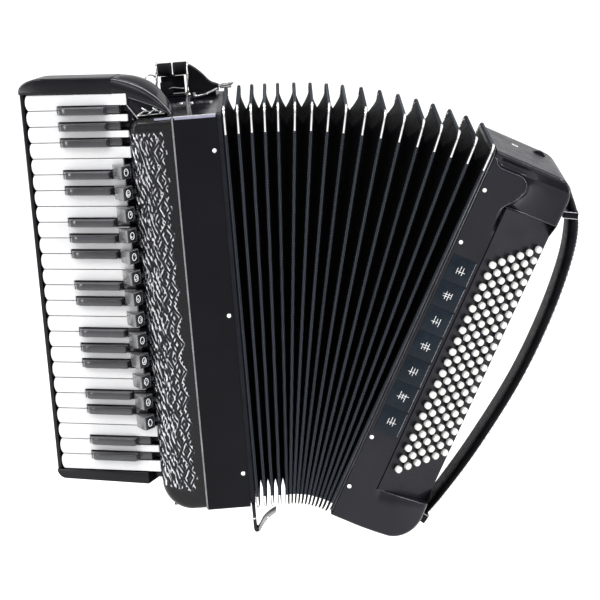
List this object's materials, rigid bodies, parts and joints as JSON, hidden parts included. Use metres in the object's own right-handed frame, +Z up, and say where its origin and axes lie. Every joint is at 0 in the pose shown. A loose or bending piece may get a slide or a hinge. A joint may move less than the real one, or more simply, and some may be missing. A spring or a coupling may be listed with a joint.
{
  "type": "piano accordion",
  "caption": "Piano accordion with fanned bellows: hinged piano keys and register tabs on the treble end, sprung bass buttons, register plates and a hand strap on the bass end.",
  "frame": {"origin": "middle of the treble case's bottom face, under its front panel, where the case stands when the bellows is shut", "axes": "+Z up along the treble case, -Y is the front that faces the listener, +X runs from the treble end to the bass end"},
  "size_m": [0.6834, 0.2104, 0.623],
  "materials": {
    "black_lacquer": "polished black celluloid over wood",
    "silver_relief": "embossed nickel-silver relief on black",
    "wood": "plain spruce and maple",
    "steel": "ground steel",
    "black_frame": "satin black",
    "nickel": "nickel plate",
    "chrome": "chrome plate",
    "black_leather": "black grained leather",
    "white_keys": "polished white",
    "black_keys": "polished black",
    "register_metal": "silver-grey gloss",
    "bellows_card": "cloth-covered card with metal corners",
    "button_board": "polished black",
    "white_buttons": "polished white",
    "bass_registers": "polished black"
  },
  "bodies": {
    "treble": {"treble_case": "black_lacquer", "treble_reed_blocks": "wood", "grille": "silver_relief", "key_axle": "steel", "keyboard_body": "black_lacquer", "treble_bellows_frame": "black_frame", "treble_bellows_pins": "nickel", "strap_brackets": "chrome", "shoulder_straps": "black_leather", "bellows_strap": "black_leather"},
    "white_keys_f": {"white_keys_f": "white_keys"},
    "white_keys_g": {"white_keys_g": "white_keys"},
    "white_keys_a": {"white_keys_a": "white_keys"},
    "white_keys_b": {"white_keys_b": "white_keys"},
    "white_keys_c": {"white_keys_c": "white_keys"},
    "white_keys_d": {"white_keys_d": "white_keys"},
    "white_keys_e": {"white_keys_e": "white_keys"},
    "black_keys_f_sharp": {"black_keys_f_sharp": "black_keys"},
    "black_keys_g_sharp": {"black_keys_g_sharp": "black_keys"},
    "black_keys_a_sharp": {"black_keys_a_sharp": "black_keys"},
    "black_keys_c_sharp": {"black_keys_c_sharp": "black_keys"},
    "black_keys_d_sharp": {"black_keys_d_sharp": "black_keys"},
    "treble_register_1": {"treble_register_1": "register_metal"},
    "treble_register_2": {"treble_register_2": "register_metal"},
    "treble_register_3": {"treble_register_3": "register_metal"},
    "treble_register_4": {"treble_register_4": "register_metal"},
    "treble_register_5": {"treble_register_5": "register_metal"},
    "treble_register_6": {"treble_register_6": "register_metal"},
    "treble_register_7": {"treble_register_7": "register_metal"},
    "treble_register_8": {"treble_register_8": "register_metal"},
    "treble_register_9": {"treble_register_9": "register_metal"},
    "treble_register_10": {"treble_register_10": "register_metal"},
    "treble_register_11": {"treble_register_11": "register_metal"},
    "treble_register_12": {"treble_register_12": "register_metal"},
    "treble_register_13": {"treble_register_13": "register_metal"},
    "bellows_ring_1": {"bellows_ring_1": "bellows_card"},
    "bellows_ring_2": {"bellows_ring_2": "bellows_card", "bellows_folds": "bellows_card"},
    "bellows_ring_3": {"bellows_ring_3": "bellows_card"},
    "bass": {"bass_case": "black_lacquer", "bass_bellows_frame": "black_frame", "button_board": "button_board", "bass_reed_block": "wood", "bass_strap": "black_leather", "bass_pins_and_brackets": "nickel"},
    "bass_register_1": {"bass_register_1": "bass_registers"},
    "bass_register_2": {"bass_register_2": "bass_registers"},
    "bass_register_3": {"bass_register_3": "bass_registers"},
    "bass_register_4": {"bass_register_4": "bass_registers"},
    "bass_register_5": {"bass_register_5": "bass_registers"},
    "bass_register_6": {"bass_register_6": "bass_registers"},
    "bass_register_7": {"bass_register_7": "bass_registers"},
    "counterbass_buttons": {"counterbass_buttons": "white_buttons"},
    "bass_buttons": {"bass_buttons": "white_buttons"},
    "major_buttons": {"major_buttons": "white_buttons"},
    "minor_buttons": {"minor_buttons": "white_buttons"},
    "seventh_buttons": {"seventh_buttons": "white_buttons"},
    "diminished_buttons": {"diminished_buttons": "white_buttons"},
    "air_button": {"air_button": "white_buttons"},
    "strap_adjuster": {"strap_adjuster": "nickel"}
  },
  "joints": [
    {"name": "white_keys_f_press", "type": "hinge", "parent": "treble", "child": "white_keys_f", "pos_m": [-0.07566, -0.07531, 0.25], "axis": [0, 0, -1], "range_deg": [0, 1.6], "stiffness_Nm_per_rad": 4, "springref_deg": -1.72},
    {"name": "white_keys_g_press", "type": "hinge", "parent": "treble", "child": "white_keys_g", "pos_m": [-0.07566, -0.07531, 0.25], "axis": [0, 0, -1], "range_deg": [0, 1.6], "stiffness_Nm_per_rad": 4, "springref_deg": -1.72},
    {"name": "white_keys_a_press", "type": "hinge", "parent": "treble", "child": "white_keys_a", "pos_m": [-0.07566, -0.07531, 0.25], "axis": [0, 0, -1], "range_deg": [0, 1.6], "stiffness_Nm_per_rad": 4, "springref_deg": -1.72},
    {"name": "white_keys_b_press", "type": "hinge", "parent": "treble", "child": "white_keys_b", "pos_m": [-0.07566, -0.07531, 0.25], "axis": [0, 0, -1], "range_deg": [0, 1.6], "stiffness_Nm_per_rad": 4, "springref_deg": -1.72},
    {"name": "white_keys_c_press", "type": "hinge", "parent": "treble", "child": "white_keys_c", "pos_m": [-0.07566, -0.07531, 0.25], "axis": [0, 0, -1], "range_deg": [0, 1.6], "stiffness_Nm_per_rad": 4, "springref_deg": -1.72},
    {"name": "white_keys_d_press", "type": "hinge", "parent": "treble", "child": "white_keys_d", "pos_m": [-0.07566, -0.07531, 0.25], "axis": [0, 0, -1], "range_deg": [0, 1.6], "stiffness_Nm_per_rad": 4, "springref_deg": -1.72},
    {"name": "white_keys_e_press", "type": "hinge", "parent": "treble", "child": "white_keys_e", "pos_m": [-0.07566, -0.07531, 0.25], "axis": [0, 0, -1], "range_deg": [0, 1.6], "stiffness_Nm_per_rad": 4, "springref_deg": -1.72},
    {"name": "black_keys_f_sharp_press", "type": "hinge", "parent": "treble", "child": "black_keys_f_sharp", "pos_m": [-0.07566, -0.07531, 0.25], "axis": [0, 0, -1], "range_deg": [0, 1.6], "stiffness_Nm_per_rad": 4, "springref_deg": -1.72},
    {"name": "black_keys_g_sharp_press", "type": "hinge", "parent": "treble", "child": "black_keys_g_sharp", "pos_m": [-0.07566, -0.07531, 0.25], "axis": [0, 0, -1], "range_deg": [0, 1.6], "stiffness_Nm_per_rad": 4, "springref_deg": -1.72},
    {"name": "black_keys_a_sharp_press", "type": "hinge", "parent": "treble", "child": "black_keys_a_sharp", "pos_m": [-0.07566, -0.07531, 0.25], "axis": [0, 0, -1], "range_deg": [0, 1.6], "stiffness_Nm_per_rad": 4, "springref_deg": -1.72},
    {"name": "black_keys_c_sharp_press", "type": "hinge", "parent": "treble", "child": "black_keys_c_sharp", "pos_m": [-0.07566, -0.07531, 0.25], "axis": [0, 0, -1], "range_deg": [0, 1.6], "stiffness_Nm_per_rad": 4, "springref_deg": -1.72},
    {"name": "black_keys_d_sharp_press", "type": "hinge", "parent": "treble", "child": "black_keys_d_sharp", "pos_m": [-0.07566, -0.07531, 0.25], "axis": [0, 0, -1], "range_deg": [0, 1.6], "stiffness_Nm_per_rad": 4, "springref_deg": -1.72},
    {"name": "treble_register_1_press", "type": "slide", "parent": "treble", "child": "treble_register_1", "axis": [0, 1, 0], "range_m": [0, 0.0025], "stiffness_N_per_m": 300, "springref_m": -0.0008},
    {"name": "treble_register_2_press", "type": "slide", "parent": "treble", "child": "treble_register_2", "axis": [0, 1, 0], "range_m": [0, 0.0025], "stiffness_N_per_m": 300, "springref_m": -0.0008},
    {"name": "treble_register_3_press", "type": "slide", "parent": "treble", "child": "treble_register_3", "axis": [0, 1, 0], "range_m": [0, 0.0025], "stiffness_N_per_m": 300, "springref_m": -0.0008},
    {"name": "treble_register_4_press", "type": "slide", "parent": "treble", "child": "treble_register_4", "axis": [0, 1, 0], "range_m": [0, 0.0025], "stiffness_N_per_m": 300, "springref_m": -0.0008},
    {"name": "treble_register_5_press", "type": "slide", "parent": "treble", "child": "treble_register_5", "axis": [0, 1, 0], "range_m": [0, 0.0025], "stiffness_N_per_m": 300, "springref_m": -0.0008},
    {"name": "treble_register_6_press", "type": "slide", "parent": "treble", "child": "treble_register_6", "axis": [0, 1, 0], "range_m": [0, 0.0025], "stiffness_N_per_m": 300, "springref_m": -0.0008},
    {"name": "treble_register_7_press", "type": "slide", "parent": "treble", "child": "treble_register_7", "axis": [0, 1, 0], "range_m": [0, 0.0025], "stiffness_N_per_m": 300, "springref_m": -0.0008},
    {"name": "treble_register_8_press", "type": "slide", "parent": "treble", "child": "treble_register_8", "axis": [0, 1, 0], "range_m": [0, 0.0025], "stiffness_N_per_m": 300, "springref_m": -0.0008},
    {"name": "treble_register_9_press", "type": "slide", "parent": "treble", "child": "treble_register_9", "axis": [0, 1, 0], "range_m": [0, 0.0025], "stiffness_N_per_m": 300, "springref_m": -0.0008},
    {"name": "treble_register_10_press", "type": "slide", "parent": "treble", "child": "treble_register_10", "axis": [0, 1, 0], "range_m": [0, 0.0025], "stiffness_N_per_m": 300, "springref_m": -0.0008},
    {"name": "treble_register_11_press", "type": "slide", "parent": "treble", "child": "treble_register_11", "axis": [0, 1, 0], "range_m": [0, 0.0025], "stiffness_N_per_m": 300, "springref_m": -0.0008},
    {"name": "treble_register_12_press", "type": "slide", "parent": "treble", "child": "treble_register_12", "axis": [0, 1, 0], "range_m": [0, 0.0025], "stiffness_N_per_m": 300, "springref_m": -0.0008},
    {"name": "treble_register_13_press", "type": "slide", "parent": "treble", "child": "treble_register_13", "axis": [0, 1, 0], "range_m": [0, 0.0025], "stiffness_N_per_m": 300, "springref_m": -0.0008},
    {"name": "bellows_fan_1", "type": "hinge", "parent": "treble", "child": "bellows_ring_1", "pos_m": [0.0625, 0, -0.235], "axis": [0, 1, 0], "range_deg": [-3.4, 0.68]},
    {"name": "bellows_fan_2", "type": "hinge", "parent": "bellows_ring_1", "child": "bellows_ring_2", "pos_m": [0.09657, 0, 0.04347], "axis": [0, 1, 0], "range_deg": [-7.6, 1.52], "deforming": ["bellows_folds"]},
    {"name": "bellows_fan_3", "type": "hinge", "parent": "bellows_ring_2", "child": "bellows_ring_3", "pos_m": [0.10637, 0, 0.02832], "axis": [0, 1, 0], "range_deg": [-9, 1.8]},
    {"name": "bellows_fan_4", "type": "hinge", "parent": "bellows_ring_3", "child": "bass", "pos_m": [0.11918, 0, 0.01674], "axis": [0, 1, 0], "range_deg": [-8.2, 1.64]},
    {"name": "bass_register_1_press", "type": "slide", "parent": "bass", "child": "bass_register_1", "axis": [0, 1, 0], "range_m": [0, 0.0025], "stiffness_N_per_m": 400, "springref_m": -0.0008},
    {"name": "bass_register_2_press", "type": "slide", "parent": "bass", "child": "bass_register_2", "axis": [0, 1, 0], "range_m": [0, 0.0025], "stiffness_N_per_m": 400, "springref_m": -0.0008},
    {"name": "bass_register_3_press", "type": "slide", "parent": "bass", "child": "bass_register_3", "axis": [0, 1, 0], "range_m": [0, 0.0025], "stiffness_N_per_m": 400, "springref_m": -0.0008},
    {"name": "bass_register_4_press", "type": "slide", "parent": "bass", "child": "bass_register_4", "axis": [0, 1, 0], "range_m": [0, 0.0025], "stiffness_N_per_m": 400, "springref_m": -0.0008},
    {"name": "bass_register_5_press", "type": "slide", "parent": "bass", "child": "bass_register_5", "axis": [0, 1, 0], "range_m": [0, 0.0025], "stiffness_N_per_m": 400, "springref_m": -0.0008},
    {"name": "bass_register_6_press", "type": "slide", "parent": "bass", "child": "bass_register_6", "axis": [0, 1, 0], "range_m": [0, 0.0025], "stiffness_N_per_m": 400, "springref_m": -0.0008},
    {"name": "bass_register_7_press", "type": "slide", "parent": "bass", "child": "bass_register_7", "axis": [0, 1, 0], "range_m": [0, 0.0025], "stiffness_N_per_m": 400, "springref_m": -0.0008},
    {"name": "counterbass_buttons_press", "type": "slide", "parent": "bass", "child": "counterbass_buttons", "axis": [-0.4839, 0.8358, 0.2594], "range_m": [0, 0.0025], "stiffness_N_per_m": 400, "springref_m": -0.0008},
    {"name": "bass_buttons_press", "type": "slide", "parent": "bass", "child": "bass_buttons", "axis": [-0.4839, 0.8358, 0.2594], "range_m": [0, 0.0025], "stiffness_N_per_m": 400, "springref_m": -0.0008},
    {"name": "major_buttons_press", "type": "slide", "parent": "bass", "child": "major_buttons", "axis": [-0.4839, 0.8358, 0.2594], "range_m": [0, 0.0025], "stiffness_N_per_m": 400, "springref_m": -0.0008},
    {"name": "minor_buttons_press", "type": "slide", "parent": "bass", "child": "minor_buttons", "axis": [-0.4839, 0.8358, 0.2594], "range_m": [0, 0.0025], "stiffness_N_per_m": 400, "springref_m": -0.0008},
    {"name": "seventh_buttons_press", "type": "slide", "parent": "bass", "child": "seventh_buttons", "axis": [-0.4839, 0.8358, 0.2594], "range_m": [0, 0.0025], "stiffness_N_per_m": 400, "springref_m": -0.0008},
    {"name": "diminished_buttons_press", "type": "slide", "parent": "bass", "child": "diminished_buttons", "axis": [-0.4839, 0.8358, 0.2594], "range_m": [0, 0.0025], "stiffness_N_per_m": 400, "springref_m": -0.0008},
    {"name": "air_button_press", "type": "slide", "parent": "bass", "child": "air_button", "axis": [-0.8813, 0, 0.4726], "range_m": [0, 0.0035], "stiffness_N_per_m": 200, "springref_m": -0.001},
    {"name": "strap_adjuster_turn", "type": "hinge", "parent": "bass", "child": "strap_adjuster", "pos_m": [0.42459, 0.047, 0.38742], "axis": [0, 1, 0], "continuous": true}
  ],
  "couplings": [
    {"joint": "bellows_fan_1", "follows": "bellows_fan_4", "ratio": 0.41463},
    {"joint": "bellows_fan_2", "follows": "bellows_fan_4", "ratio": 0.92683},
    {"joint": "bellows_fan_3", "follows": "bellows_fan_4", "ratio": 1.0976}
  ]
}
